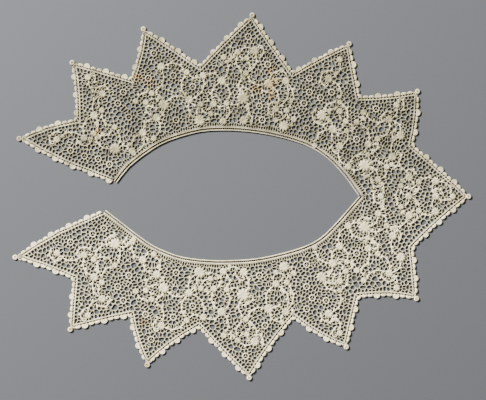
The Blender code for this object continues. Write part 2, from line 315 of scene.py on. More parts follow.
def onArc(centre, reach, angles):
    return centre + reach * np.stack([np.cos(angles), np.sin(angles)], axis=1)


def roundSpots(centre, reach, step, turn=0.0, least=6):
    count = max(least, round(2 * math.pi * reach / step))
    return onArc(centre, reach, turn + 2 * math.pi * np.arange(count) / count)


# Scrolls: stems from flower to flower, arcs round the larger ones and ringed wheels between

scrolls = {
    "stemReach": (15.0, 44.0),  # distance between two flowers that one stem may join
    "stemBow": 0.24,
    "bowLonger": 1.15,  # about how much the bow adds to a stem's length
    "stemsEach": 4,
    "under": 0.72,  # share of a flower's radius where its stems end, under the petals
    "arcFlower": 4.2,  # smallest flower with an arc round it, by its radius
    "arcGap": 6.4,  # from a flower's rim to the arc round it
    "arcTurn": 215.0,
    "arcLeast": 80.0,
    "arcStart": 2.4,  # turn from one flower's arc to the next, in radians
    "apart": 3.4,
    "fromFlowers": 2.2,
    "fromBorder": 2.6,
    "step": 2.2,
    "wheelRadius": 4.3,
    "wheelsEach": 22,
    "wheelApart": 17.5,
    "wheelRoom": 1.2,
    "wheelGrid": 4.0,
}


def freeHere(points, skip):  # clear of the border, and of all flowers but its own
    away = fromFlowers(points, np.delete(flowers, skip, axis=0))
    return (away > scrolls["fromFlowers"] * mm) & deepInField(points, scrolls["fromBorder"])


def flowerPairs():  # two flowers that a stem may join, the nearest pair first
    low, high = scrolls["stemReach"]
    pairs = set()
    for i, flower in enumerate(flowers):
        away = np.hypot(*(flowers[:, :2] - flower[:2]).T)
        for j in np.argsort(away)[1 : scrolls["stemsEach"] + 1]:
            if low * mm < away[j] < high * mm:
                pairs.add((round(away[j], 6), min(i, j), max(i, j)))
    return sorted(pairs)


def stemBetween(i, j, length, bow):  # a bowed line that ends under both flowers
    a, b = flowers[i, :2], flowers[j, :2]
    way = (b - a) / length
    across = np.array([-way[1], way[0]])
    t = np.linspace(0, 1, max(6, round(scrolls["bowLonger"] * length / (scrolls["step"] * mm))))
    bend = bow * scrolls["stemBow"] * length * np.sin(math.pi * t)
    points = a + t[:, None] * (b - a) + bend[:, None] * across
    for x, y, size in flowers[[i, j]]:
        points = points[np.hypot(points[:, 0] - x, points[:, 1] - y) >= size / 2 * scrolls["under"]]
    return points


def drawStems():
    drawn, taken = [], np.zeros((0, 2))
    for number, (length, i, j) in enumerate(flowerPairs()):
        for bow in (1, -1) if number % 2 else (-1, 1):
            points = stemBetween(i, j, length, bow)
            middle = points[2:-2] if len(points) > 6 else points
            alone = clearOf(middle, taken, scrolls["apart"] * mm).all()
            if alone and freeHere(points, [i, j]).all():
                drawn.append(points)
                taken = np.concatenate([taken, points])
                break
    return drawn, taken


def longestRun(good):
    best, run = (0, 0), 0
    for k in range(len(good) + 1):
        if k < len(good) and good[k]:
            run += 1
            continue
        if run > best[1] - best[0]:
            best = (k - run, k)
        run = 0
    return best


def drawArcs(taken):
    step, turns = scrolls["step"] * mm, math.radians(scrolls["arcTurn"])
    drawn = []
    for i in np.argsort(-flowers[:, 2] / 2):
        radius = flowers[i, 2] / 2
        if radius < scrolls["arcFlower"] * mm:
            continue
        reach = radius + scrolls["arcGap"] * mm
        count = round(reach * turns / step)
        angles = scrolls["arcStart"] * i + turns * np.arange(count) / count
        ring = onArc(flowers[i, :2], reach, angles)
        good = freeHere(ring, i) & clearOf(ring, taken, scrolls["apart"] * mm)
        first, last = longestRun(good)
        if (last - first) * step > math.radians(scrolls["arcLeast"]) * reach:
            drawn.append(ring[first:last])
            taken = np.concatenate([taken, drawn[-1]])
    return drawn, taken


def placeWheels(taken):
    grid, radius = scrolls["wheelGrid"] * mm, scrolls["wheelRadius"] * mm
    spots = fieldGrid(grid, grid).reshape(-1, 2)
    spots = spots[insideLoop(spots, fieldLoop)]
    room = nearestOnLoop(spots, fieldLoop)[1] - radius
    for away in (fromFlowers(spots, flowers), distances(spots, taken).min(axis=1)):
        room = np.minimum(room, away - radius)
    placed = []
    for k in np.argsort(-room):
        if room[k] < scrolls["wheelRoom"] * mm or len(placed) == 2 * scrolls["wheelsEach"]:
            break
        if all(np.hypot(*(spots[k] - w)) > scrolls["wheelApart"] * mm for w in placed):
            placed.append(spots[k])
    return np.array(placed)


flowers = [(x, y * sign, size) for x, y, size in blossomRows + floretRows for sign in (1, -1)]
flowers = np.array(flowers + list(axisRows)) * mm
stems, taken = drawStems()
arcs, taken = drawArcs(taken)
vines = stems + arcs
wheels = placeWheels(taken)
print(f"{len(flowers)} flowers, {len(stems)} stems, {len(arcs)} arcs, {len(wheels)} wheels")


# The net: one cell for each gap, laid in rows along the stems and round the flowers

net = {
    "most": 14000,  # no more cells than that
    "apart": 2.9,  # least distance between two placed cells
    "fill": 7.8,  # spacing of the cells between the rows
    "fillShift": 0.3,  # how far those stray, as a share of the spacing
    "fillApart": 3.2,
    "fillClear": 3.5,  # from the cells in rows
    "fillBorder": 2.2,
    "pairShare": 0.55,  # share of those that are parted into two long gaps
    "pairHalf": 1.7,
    "pairAcross": 0.6,  # share of the pairs that lie side by side, seen from the flower
    "leafShare": 0.12,
    "besideStem": 2.5,
    "alongStem": 5.0,
    "leafEvery": 4,
    "underFlower": 0.86,  # share of a flower's radius that the net leaves out
    "underApart": 0.6,
    "besideFlower": 2.1,
    "roundFlower": 4.7,
    "flowerApart": 1.6,
    "turnEach": 0.7,  # turn from one flower to the next, in radians
    "outsideWheel": 2.2,
    "insideWheel": 2.4,
    "roundWheel": (4.3, 4.0),  # spacing outside and inside a wheel
    "wheelApart": 1.8,
    "borderDeep": 2.2,
    "borderStep": 5.2,
    "borderLeast": 1.1,  # nearest that a cell's middle comes to the border
    "neckDeep": 1.8,
    "neckStep": 3.5,
    "neckApart": 2.6,
    "mirrored": 8.0,  # cells nearer to the border are mirrored over it
    "relax": 4.0,  # farthest that a loose cell moves to its own middle
    "seed": 11,
    "merge": 0.5,  # shorter thread lengths close up
    "thick": 1.55,
    "top": 1.6,
    "lowest": 0.05,
    "droop": 0.32,  # the rim of a gap is that much lower than its threads' middle
    "leafMost": 2.45,  # a larger cell stays a gap
    "leafInset": 0.55,
    "leafRise": 0.4,
    "uneven": 0.4,  # how far threads vary in width at one cell size
    "reach": 6.5,  # farthest corner of a cell from its middle
    "threads": ((0.85, 0.17), (1.3, 0.24), (1.75, 0.34), (2.3, 0.48)),  # cell size, half a thread
    "shares": (-62.0, 58.0, 176.0),  # x where the net is divided into its pieces
}


def plant(bed, points, kind, apart):
    for point in points:
        old = bed["spots"][: bed["count"]]
        if len(old) and ((old - point) ** 2).sum(axis=1).min() < (apart * mm) ** 2:
            continue
        bed["spots"][bed["count"]] = point
        bed["kinds"].append(kind)
        bed["count"] += 1


def evenSpots(vine, apart):  # the middles of even parts of a stem, with its left there
    path = [Vector(point) for point in vine]
    length = pathLength(path)
    parts = max(1, round(length / (apart * mm)))
    return [alongPath(path, length * (k + 0.5) / parts) for k in range(parts)]


def rowInside(path, sign, deep, step):  # spots in a row beside the field's border
    places = [alongPath(path, (k + 0.5) * step) for k in range(int(pathLength(path) / step))]
    return onSide([point + out * deep for point, out in places], sign)


def bedRounds(bed):  # rings of cells round and under the flowers, and round and in the wheels
    for n, (x, y, size) in enumerate(flowers):
        centre, radius = np.array((x, y)), size / 2 * net["underFlower"]
        beside, step = net["besideFlower"] * mm, net["roundFlower"] * mm
        outer = roundSpots(centre, radius + beside, step, net["turnEach"] * n)
        plant(bed, outer, "gap", net["flowerApart"])
        inner = centre + (outer - centre) * ((radius - beside) / (radius + beside))
        plant(bed, inner, "under", net["underApart"])
    outside, inside = (step * mm for step in net["roundWheel"])
    for centre in wheels:
        outer, inner = net["outsideWheel"] * mm, net["insideWheel"] * mm
        reach = scrolls["wheelRadius"] * mm
        plant(bed, roundSpots(centre, reach + outer, outside), "gap", net["wheelApart"])
        spots = roundSpots(centre, reach - inner, inside, turn=0.5, least=3)
        plant(bed, spots, "gap", net["wheelApart"])


def bedRows(bed):  # cells on both sides of the stems, and inside the field's border
    for number, vine in enumerate(vines):
        for k, (point, out) in enumerate(evenSpots(vine, net["alongStem"])):
            turn, left = divmod(k, net["leafEvery"])
            for way in (1, -1):
                spot = np.array(point + out * (way * net["besideStem"] * mm))
                leaf = left == 1 and (way == 1) == ((turn + number) % 2 == 0)
                plant(bed, [spot], "leaf" if leaf else "gap", net["apart"])
    for name, half in halves.items():
        rim, neckSide, sign = half["rim"], half["neckSide"], signs[name]
        rows = rowInside(rim, sign, -net["borderDeep"] * mm, net["borderStep"] * mm)
        plant(bed, rows, "gap", net["apart"])
        rows = rowInside(neckSide, sign, net["neckDeep"] * mm, net["neckStep"] * mm)
        plant(bed, rows, "gap", net["neckApart"])


def bedForNet():
    bed = {"spots": np.zeros((net["most"], 2)), "kinds": [], "count": 0}
    bedRounds(bed)
    bedRows(bed)
    spots = bed["spots"][: bed["count"]]
    inField = deepInField(spots, net["borderLeast"])
    bed["count"] = int(inField.sum())
    bed["spots"][: bed["count"]] = spots[inField]
    bed["kinds"] = [kind for kind, kept in zip(bed["kinds"], inField) if kept]
    random = np.random.default_rng(net["seed"])
    step = net["fill"] * mm
    spots = fieldGrid(step, step * math.sqrt(0.75))
    spots[1::2, :, 0] += step / 2
    spots = spots.reshape(-1, 2)
    spots = spots + random.uniform(-1, 1, spots.shape) * step * net["fillShift"]
    spots = spots[deepInField(spots, net["fillBorder"])]
    spots = spots[clearOf(spots, bed["spots"][: bed["count"]], net["fillClear"] * mm)]
    plant(bed, spots, "fill", net["fillApart"])
    print(f"net: {bed['count']} cells, {bed['kinds'].count('fill')} of them between rows")
    return bed["spots"][: bed["count"]], np.array(bed["kinds"])


def mirroredOver(spots):  # the spots by the border, reflected over it
    foot, far = nearestOnLoop(spots, fieldLoop)
    near = far < net["mirrored"] * mm
    return 2 * foot[near] - spots[near]


def cellCorners(spots):  # triangles between the spots, and the centre of each
    every = np.concatenate([spots, mirroredOver(spots)])
    made = delaunay_2d_cdt([Vector(p) for p in every], [], [], 0, 1e-9)
    source = np.array([old[0] if old else -1 for old in made[3]])
    triangles = source[np.array(made[2])]
    a, b, c = (every[triangles[:, k]] for k in range(3))
    twice = 2 * np.cross(b - a, c - a)
    b2, c2 = ((b - a) ** 2).sum(axis=1), ((c - a) ** 2).sum(axis=1)
    x = a[:, 0] + ((c - a)[:, 1] * b2 - (b - a)[:, 1] * c2) / twice
    y = a[:, 1] + ((b - a)[:, 0] * c2 - (c - a)[:, 0] * b2) / twice
    return triangles, np.stack([x, y], axis=1)


def relaxed(spots, kinds):  # each loose cell once moved to the middle of its corners
    triangles, centres = cellCorners(spots)
    total = np.zeros((len(spots), 2))
    count = np.zeros(len(spots))
    for k in range(3):
        own = triangles[:, k] < len(spots)
        np.add.at(total, triangles[own, k], centres[own])
        np.add.at(count, triangles[own, k], 1)
    mean = total / np.maximum(count, 1)[:, None]
    moved = np.hypot(*(mean - spots).T) < net["relax"] * mm
    return np.where(((kinds == "fill") & moved)[:, None], mean, spots)


def partedInTwo(spots, kinds):  # long gaps that run out from the flowers or round them
    random = np.random.default_rng(net["seed"] + 1)
    loose = np.flatnonzero(kinds == "fill")
    added = []
    for spot, (share, way) in zip(loose, random.random((len(loose), 2))):
        if share < net["leafShare"]:
            kinds[spot] = "leaf"
        elif share < net["leafShare"] + net["pairShare"]:
            nearest = flowers[np.hypot(*(flowers[:, :2] - spots[spot]).T).argmin(), :2]
            ray = (spots[spot] - nearest) / np.hypot(*(spots[spot] - nearest))
            across = np.array([-ray[1], ray[0]]) if way < net["pairAcross"] else ray
            shift = across * net["pairHalf"] * mm
            added.append(spots[spot] + shift)
            spots[spot] -= shift
    kinds = np.concatenate([kinds, np.full(len(added), "gap")])
    return np.concatenate([spots, added]), kinds


def netCells(spots):  # the corners of all cells, and each cell's own in turn
    triangles, centres = cellCorners(spots)
    first = spots[np.minimum(triangles.min(axis=1), len(spots) - 1)]
    reach = np.hypot(*(centres - first).T)
    pull = np.minimum(1.0, net["reach"] * mm / reach)  # slivers along the border
    centres = first + (centres - first) * pull[:, None]
    out = ~insideLoop(centres, fieldLoop)
    centres[out] = nearestOnLoop(centres[out], fieldLoop)[0]
    cells = {k: [] for k in range(len(spots))}
    for number, corner in enumerate(triangles):
        for spot in corner:
            if spot < len(spots):
                cells[spot].append(number)
    faces = []
    for spot, ring in cells.items():
        if len(ring) < 3:
            continue
        way = centres[ring] - centres[ring].mean(axis=0)
        order = np.argsort(np.arctan2(way[:, 1], way[:, 0]))
        faces.append((spot, [ring[k] for k in order]))
    return centres, faces


def linkMesh(name, points, faces):
    mesh = bpy.data.meshes.new(name)
    mesh.from_pydata(points, [], faces)
    thing = bpy.data.objects.new(name, mesh)
    bpy.context.scene.collection.objects.link(thing)
    return thing


def activate(thing):
    bpy.ops.object.select_all(action="DESELECT")
    thing.select_set(True)
    bpy.context.view_layer.objects.active = thing


def applyModifier(thing, kind, **settings):
    activate(thing)
    modifier = thing.modifiers.new(kind.title(), kind)
    for key, value in settings.items():
        setattr(modifier, key, value)
    bpy.ops.object.modifier_apply(modifier=modifier.name)


def selectAll(mode):
    bpy.ops.mesh.select_mode(type=mode)
    bpy.ops.mesh.select_all(action="SELECT")


def inEditMode(mode="FACE"):  # with all selected
    bpy.ops.object.mode_set(mode="EDIT")
    selectAll(mode)


def inObjectMode():
    bpy.ops.object.mode_set(mode="OBJECT")


def faceUp(thing):
    if thing.data.polygons[0].normal.z < 0:
        thing.data.flip_normals()


def turnOut():  # in edit mode: all faces outward
    bpy.ops.mesh.select_all(action="SELECT")
    bpy.ops.mesh.normals_make_consistent(inside=False)


def selectOpenEdges():
    bpy.ops.mesh.select_mode(type="EDGE")
    bpy.ops.mesh.select_all(action="DESELECT")
    bpy.ops.mesh.select_non_manifold()


def chooseFaces(thing, test):  # leaves edit mode on with only those faces selected
    activate(thing)
    bpy.ops.object.mode_set(mode="EDIT")
    bpy.ops.mesh.select_mode(type="FACE")
    bpy.ops.mesh.select_all(action="DESELECT")
    inObjectMode()
    for face in thing.data.polygons:
        face.select = test(face)
    bpy.ops.object.mode_set(mode="EDIT")


def lift(high):  # in edit mode, in mm
    bpy.ops.transform.translate(value=(0, 0, high * mm))


def stretch(x, y):
    bpy.ops.transform.resize(value=(x, y, 1), center_override=(0, 0, 0))


def cutOut(width, drop=0.0):  # a gap in each chosen face, with its rim lowered
    bpy.ops.mesh.inset(thickness=width * mm, use_individual=True)
    lift(-drop)
    bpy.ops.mesh.delete(type="FACE")
    inObjectMode()


def liftMiddle(rimHigh, rim, middleHigh):  # the face at one height and its middle at another
    lift(rimHigh)
    bpy.ops.mesh.inset(thickness=rim * mm)
    lift(middleHigh - rimHigh)
    inObjectMode()


def closeDown(thing, lowest):  # walls from the open edges to the floor, and an underside
    activate(thing)
    bpy.ops.object.mode_set(mode="EDIT")
    selectOpenEdges()
    bpy.ops.mesh.extrude_region_move()
    bpy.ops.transform.resize(value=(1, 1, 0), center_override=(0, 0, lowest * mm))
    bpy.ops.mesh.edge_face_add()
    turnOut()
    inObjectMode()


def smoothOver(thing, lowest, levels=1):
    if levels:
        applyModifier(thing, "SUBSURF", levels=levels, render_levels=levels)
        restOnFloor(thing, lowest)
    activate(thing)
    bpy.ops.object.shade_smooth()


def finishShell(thing, thick, lowest, levels=1):
    applyModifier(thing, "SOLIDIFY", thickness=thick * mm, offset=-1.0)
    restOnFloor(thing, lowest)
    smoothOver(thing, lowest, levels)


def restOnFloor(thing, lowest):  # flattens what would reach below the underside
    points = np.empty(len(thing.data.vertices) * 3)
    thing.data.vertices.foreach_get("co", points)
    points[2::3] = np.maximum(points[2::3], lowest * mm)
    thing.data.vertices.foreach_set("co", points)
    thing.data.update()


def cellSize(face):  # twice the area over the rim: the radius of the largest gap in it
    points = [face.id_data.vertices[k].co for k in face.vertices]
    rim = sum((a - b).length for a, b in zip(points, points[1:] + points[:1]))
    return 2 * face.area / max(rim, 1e-9)


def threadClasses(thing):  # the thread width of each cell, and a tag on those worked solid
    worked = thing.data.attributes["worked"].data
    sizes = [cellSize(face) / mm for face in thing.data.polygons]
    for n, size in enumerate(sizes):
        worked[n].value = worked[n].value and size < net["leafMost"]
        sizes[n] = 0.0 if worked[n].value else size
    random = np.random.default_rng(net["seed"] + 2)
    drawn = np.array(sizes) * (1 + net["uneven"] * random.uniform(-1, 1, len(sizes)))
    bounds = list(net["threads"]) + [(1e3, 0)]
    classes = np.full(len(sizes), -1)
    for n, ((least, _), (most, _)) in enumerate(zip(bounds, bounds[1:])):
        classes[(drawn >= least) & (drawn < most)] = n
    classes[np.array(sizes) < bounds[0][0]] = -1
    tag = thing.data.attributes.new("thread", "INT", "FACE")
    tag.data.foreach_set("value", classes.astype(np.int32))


def buildNetPiece(name, centres, cells, kinds):
    faces = [(spot, ring) for spot, ring in cells if kinds[spot] != "under"]
    used = sorted({k for _, ring in faces for k in ring})
    place = {k: n for n, k in enumerate(used)}
    points = [(*centres[k], net["top"] * mm) for k in used]
    thing = linkMesh(name, points, [[place[k] for k in ring] for _, ring in faces])
    tag = thing.data.attributes.new("worked", "BOOLEAN", "FACE")
    tag.data.foreach_set("value", [bool(kinds[spot] == "leaf") for spot, _ in faces])
    activate(thing)
    bpy.ops.object.mode_set(mode="EDIT")
    bpy.ops.mesh.select_all(action="SELECT")
    bpy.ops.mesh.remove_doubles(threshold=net["merge"] * mm)
    turnOut()
    selectOpenEdges()
    bpy.ops.transform.edge_crease(value=1.0)  # so that neighbouring pieces meet without a groove
    bpy.ops.mesh.mark_sharp()
    inObjectMode()
    faceUp(thing)
    threadClasses(thing)
    gaps = 0
    for n, (_, half) in enumerate(net["threads"]):
        values = thing.data.attributes["thread"].data
        chosen = {f.index for f in thing.data.polygons if values[f.index].value == n}
        if not chosen:
            continue
        gaps += len(chosen)
        chooseFaces(thing, lambda face: face.index in chosen)
        cutOut(half, net["droop"])
    worked = thing.data.attributes["worked"].data
    leaves = {face.index for face in thing.data.polygons if worked[face.index].value}
    chooseFaces(thing, lambda face: face.index in leaves)
    bpy.ops.mesh.inset(thickness=net["leafInset"] * mm, use_individual=True)
    lift(net["leafRise"])
    inObjectMode()
    finishShell(thing, net["thick"], net["lowest"])
    print(f"{name}: {gaps} gaps, {len(thing.data.polygons)} faces")
    return thing


def cutOf(centres, cells, kinds):  # width, length and area of a piece of the net
    area = 0.0
    for spot, ring in cells:
        if kinds[spot] != "under":
            x, y = centres[ring].T
            area += 0.5 * abs(x @ np.roll(y, -1) - y @ np.roll(x, -1))
    corners = centres[[k for _, ring in cells for k in ring]]
    return tuple(corners.max(axis=0) - corners.min(axis=0)), area


def buildNet():
    spots, kinds = bedForNet()
    spots, kinds = partedInTwo(relaxed(spots, kinds), kinds)
    centres, faces = netCells(spots)
    groups = {}
    for spot, ring in faces:
        part = sum(spots[spot][0] > x * mm for x in net["shares"])
        side = "Upper" if spots[spot][1] > 0 else "Lower"
        name = "netBack" if part == 3 else f"net{side}{'ABC'[part]}"
        groups.setdefault(name, []).append((spot, ring))
    made = [buildNetPiece(name, centres, own, kinds) for name, own in groups.items()]
    return made, [cutOf(centres, own, kinds) for own in groups.values()]


nets, netCuts = buildNet()


# Flowers, worked solid and raised over the net

flowerShape = {
    "petals": 9,
    "lobe": 0.27,  # half a petal's blunt tip, as a share of its turn
    "notch": 0.62,
    "spread": 1.16,  # petal tips, as a share of the flower's radius
    "foot": 0.9,
    "lowest": 0.05,
    "crease": 0.35,  # how far the notches lie below the petals
    "creaseTurn": 0.1,  # half a crease's width, as a share of a petal's turn
    "creaseFrom": 0.3,  # share of the radius where the creases begin
    "rings": ((0.86, 2.0), (0.6, 2.2), (0.3, 1.75)),  # share of the radius, height
}


def startDisc(corners, radius=1.0, fill="NGON"):
    bpy.ops.object.select_all(action="DESELECT")
    bpy.ops.mesh.primitive_circle_add(
        vertices=corners, radius=radius, fill_type=fill, location=(0, 0, 0)
    )
    return bpy.context.object


def placeCopies(name, blank, places):  # one joined mesh of copies of the blank
    copies = []
    for place in places:
        twin = blank.copy()
        twin.data = blank.data.copy()
        twin.data.transform(place)
        bpy.context.scene.collection.objects.link(twin)
        copies.append(twin)
    bpy.data.objects.remove(blank)
    bpy.ops.object.select_all(action="DESELECT")
    for twin in copies:
        twin.select_set(True)
    bpy.context.view_layer.objects.active = copies[0]
    bpy.ops.object.join()
    joined = bpy.context.object
    joined.name = joined.data.name = name
    return joined


def placeRaised(name, blank, places):
    thing = placeCopies(name, blank, places)
    bpy.ops.object.shade_smooth()
    print(f"{name}: {len(places)}, {len(thing.data.polygons)} faces")
    return thing


def onPlace(x, y, wide, deep, turn=0.0):
    size = Matrix.Diagonal((wide, deep, 1.0, 1.0))
    return Matrix.Translation((x, y, 0)) @ Matrix.Rotation(turn, 4, "Z") @ size


def flowerPlaces():
    places = []
    for n, (x, y, size) in enumerate(flowers):
        radius = size / 2 * flowerShape["spread"]
        places.append(onPlace(x, y, radius, radius, net["turnEach"] * n))
    return places


def flowerBlank():
    petals, lobe, foot = (flowerShape[key] for key in ("petals", "lobe", "foot"))
    blank = startDisc(3 * petals)
    for k, corner in enumerate(blank.data.vertices):
        share = (-lobe, lobe, 0.5)[k % 3]
        reach = flowerShape["notch"] if k % 3 == 2 else 1.0
        turn = 2 * math.pi * (k // 3 + share) / petals
        corner.co = (reach * math.sin(turn), reach * math.cos(turn), foot * mm)
    blank.data.update()
    inEditMode()
    before = (1.0, foot)
    for share, high in flowerShape["rings"]:
        ratio = share / before[0]
        bpy.ops.mesh.extrude_region_move(
            TRANSFORM_OT_translate={"value": (0, 0, (high - before[1]) * mm)}
        )
        stretch(ratio, ratio)
        before = (share, high)
    inObjectMode()
    for corner in blank.data.vertices:
        turn = math.atan2(corner.co.x, corner.co.y) / (2 * math.pi) * petals % 1.0
        raised = corner.co.z > foot * mm and corner.co.xy.length > flowerShape["creaseFrom"]
        if raised and abs(turn - 0.5) < flowerShape["creaseTurn"]:
            corner.co.z -= flowerShape["crease"] * mm
    closeDown(blank, flowerShape["lowest"])
    return blank


# Small leaves, worked solid beside the stems

leaf = {
    "corners": 10,
    "long": 5.0,
    "wide": 3.0,
    "point": 0.35,  # how much narrower the tip is than the foot
    "lowest": 0.3,
    "footHigh": 1.55,
    "middleHigh": 2.05,
    "rim": 0.55,
    "apart": 6.4,
    "lean": 48.0,  # degrees from the stem
    "clear": 2.3,
    "uneven": 0.18,
}


def leafPlaces():
    random = np.random.default_rng(net["seed"] + 4)
    places, taken = [], np.zeros((0, 2))
    clear, lean = leaf["clear"] * mm, math.radians(leaf["lean"])
    for number, vine in enumerate(vines):
        others = np.concatenate([other for k, other in enumerate(vines) if k != number])
        for k, (point, out) in enumerate(evenSpots(vine, leaf["apart"])):
            size = 1 + leaf["uneven"] * random.uniform(-1, 1)
            side = 1 if (k + number) % 2 else -1
            way = out * (side * math.sin(lean)) + Vector((out.y, -out.x)) * math.cos(lean)
            spot = np.array(point + way * (0.5 * leaf["long"] * size * mm))
            alone = np.array([spot])
            free = fromFlowers(alone, flowers)[0] > clear and clearOf(alone, others, clear)[0]
            free = free and clearOf(alone, taken, 2 * clear)[0]
            if free and deepInField(alone, leaf["clear"])[0]:
                taken = np.concatenate([taken, alone])
                turn = math.atan2(way.y, way.x) - math.pi / 2
                places.append(onPlace(*spot, size, size, turn))
    return places


def leafBlank():
    blank = startDisc(leaf["corners"])
    for corner in blank.data.vertices:
        corner.co.x *= 1 - leaf["point"] * corner.co.y
    blank.data.update()
    inEditMode()
    bpy.ops.transform.resize(value=(leaf["wide"] / 2 * mm, leaf["long"] / 2 * mm, 1.0))
    liftMiddle(leaf["footHigh"], leaf["rim"], leaf["middleHigh"])
    closeDown(blank, leaf["lowest"])
    return blank


# Cords laid over the scrolls, round the wheels and along the edges

cords = {
    "scrollRadius": 0.78,
    "scrollHigh": 1.35,
    "scrollTaper": 0.6,
    "wheelRadius": 0.6,
    "wheelStep": 2.0,
    "edgeRadius": 0.52,
    "edgeHigh": 1.2,
    "edgeStep": 2.8,
    "curlSteps": 8,
    "curlTurn": 36.0,
    "curlGrowth": (0.6, 0.1),  # share of that turn in the first step, and more in each step
    "curlStep": 1.7,
    "curlShorter": 0.05,
}


def layCords(name, paths, radius, high, closed=False, taper=1.0):
    curve = bpy.data.curves.new(name, "CURVE")
    curve.dimensions = "3D"
    curve.bevel_depth = radius * mm
    curve.bevel_resolution = 1
    curve.use_fill_caps = False
    lengths = []
    for path in paths:
        spline = curve.splines.new("POLY")
        spline.points.add(len(path) - 1)
        for k, (x, y) in enumerate(path):
            spline.points[k].co = (x, y, high * mm, 1)
            if not closed and k in (0, len(path) - 1):
                spline.points[k].radius = taper
        spline.use_cyclic_u = closed
        steps = [math.dist(a, b) for a, b in zip(path, path[1:])]
        lengths += [sum(steps[:k]) for k in range(len(path))]
    thing = bpy.data.objects.new(name, curve)
    bpy.context.scene.collection.objects.link(thing)
    activate(thing)
    bpy.ops.object.convert(target="MESH")
    thing = bpy.context.object
    ring = len(thing.data.vertices) // len(lengths)
    along = thing.data.attributes.new("along", "FLOAT", "POINT")
    along.data.foreach_set("value", np.repeat(lengths, ring).astype(np.float32))
    inEditMode("EDGE")
    bpy.ops.mesh.fill_holes(sides=ring)
    turnOut()
    inObjectMode()
    bpy.ops.object.shade_smooth()
    print(f"{name}: {len(paths)} cords, {len(thing.data.polygons)} faces")
    return thing


def curled(arc):  # the arc with a tightening curl at its end
    points = list(arc)
    way = points[-1] - points[-2]
    before = points[-2] - points[-3]
    side = 1 if before[0] * way[1] - before[1] * way[0] > 0 else -1
    way = way / np.hypot(*way)
    first, more = cords["curlGrowth"]
    for k in range(cords["curlSteps"]):
        turn = side * math.radians(cords["curlTurn"]) * (first + more * k)
        c, s = math.cos(turn), math.sin(turn)
        way = np.array([c * way[0] - s * way[1], s * way[0] + c * way[1]])
        points.append(points[-1] + way * cords["curlStep"] * mm * (1 - cords["curlShorter"] * k))
    return points


def layScrolls():
    paths = stems + [curled(arc) for arc in arcs]
    radius, high = cords["scrollRadius"], cords["scrollHigh"]
    return layCords("scrollCords", paths, radius, high, taper=cords["scrollTaper"])


def layWheels():
    reach, step = scrolls["wheelRadius"] * mm, cords["wheelStep"] * mm
    paths = [roundSpots(centre, reach, step) for centre in wheels]
    return layCords("wheelCords", paths, cords["wheelRadius"], cords["scrollHigh"], closed=True)


# Edging: a band of small gaps, and solid scallops and knobs outside it

edging = {
    "band": {"thread": 0.3, "top": 1.2, "droop": 0.2, "merge": 0.02},
    "corners": {"scallops": 14, "fans": 20, "knobs": 16},
    "foot": 1.5,  # how far a scallop reaches in over the band
    "fill": 0.98,  # share of its place that a scallop takes
    "valleyRoom": 5.4,  # left free by a side's scallops for the arch that spans the valley
    "valleyOut": 2.4,  # from the valley's corner to that arch
    "rim": {"arches": 1.0, "domes": 1.6},
    "rimHigh": {"arches": 1.3, "domes": 1.75, "fans": 1.7, "knobs": 1.7},
    "middleHigh": {"arches": 1.8, "domes": 1.2},
    "knobThread": 2.0,
    "knobBar": 0.42,
    "knobWithin": 0.6,  # share of the knob's inner radius that holds the faces cut out
    "fanWidth": 10.4,
    "fanRise": 4.8,
    "fanRim": 1.3,
    "fanBack": 12.4,  # from the tip to the fan's base
}
frontStart = (collar["heading"] + 6 * collar["halfSeam"]) * mm


def scallopRuns(length, counted, arches, tipLast):
    wide, narrow = collar["domeWidth"] * mm, collar["archWidth"] * mm
    count = round(3 * counted / (2 * narrow + wide))
    domes = [(i - arches) % 3 == 0 for i in range(count)]
    if tipLast:
        domes.reverse()
    widths = [wide if dome else narrow for dome in domes]
    fit = length / sum(widths)
    return [(sum(widths[:i]) * fit, w * fit, d) for i, (w, d) in enumerate(zip(widths, domes))]


def sideRuns(i, side):  # the scallops of one side: their first place, their line, their runs
    share, valley = collar["knobShare"] * mm, edging["valleyRoom"] * mm
    tipLast = i % 2 == 0
    first = (valley if i else frontStart) if tipLast else share
    piece = trimmedPath(side, first, share if tipLast else valley)
    length = pathLength(piece)
    counted = length + (valley - collar["valleyShare"] * mm) * (i > 0)
    return first, piece, scallopRuns(length, counted, collar["archesAtTip"][i // 2], tipLast)


def between(a, b):  # the direction halfway between two others
    return (a.normalized() + b.normalized()).normalized()


def outwardAt(point, out, sign, stretch=1.0):  # a blank's own +Y points along out
    turn = math.atan2(out.y * sign, out.x) - math.pi / 2
    return onPlace(point.x, point.y * sign, stretch, 1.0, turn)


def edgePlaces():  # where arches, domes, fans and knobs go, on both halves
    places = {"arches": [], "domes": [], "fans": [], "knobs": []}
    backs = {"fans": edging["fanBack"], "knobs": collar["knobRadius"]}
    for name, half in halves.items():
        sign, sides = signs[name], half["sides"]
        for i, side in enumerate(sides):
            _, piece, runs = sideRuns(i, side)
            for begin, wide, dome in runs:
                middle, out = alongPath(piece, begin + wide / 2)
                own = collar["domeWidth" if dome else "archWidth"] * mm
                place = outwardAt(middle, out, sign, wide / own)
                places["domes" if dome else "arches"].append(place)
            if i % 2:
                continue
            valley, tip, last = side[0], half["corners"][i], i == len(sides) - 1
            if i:
                out = between(side[-1] - valley, sides[i - 1][0] - valley)
                spot = valley + out * edging["valleyOut"] * mm
                places["arches"].append(outwardAt(spot, out, sign))
            if last and sign < 0:  # both halves share the tip at the centre back
                continue
            after = Vector((valley.x, -valley.y)) if last else sides[i + 1][-1]
            out = between(tip - valley, tip - after)
            for kind, back in backs.items():
                places[kind].append(outwardAt(tip - out * back * mm, out, sign))
    return places


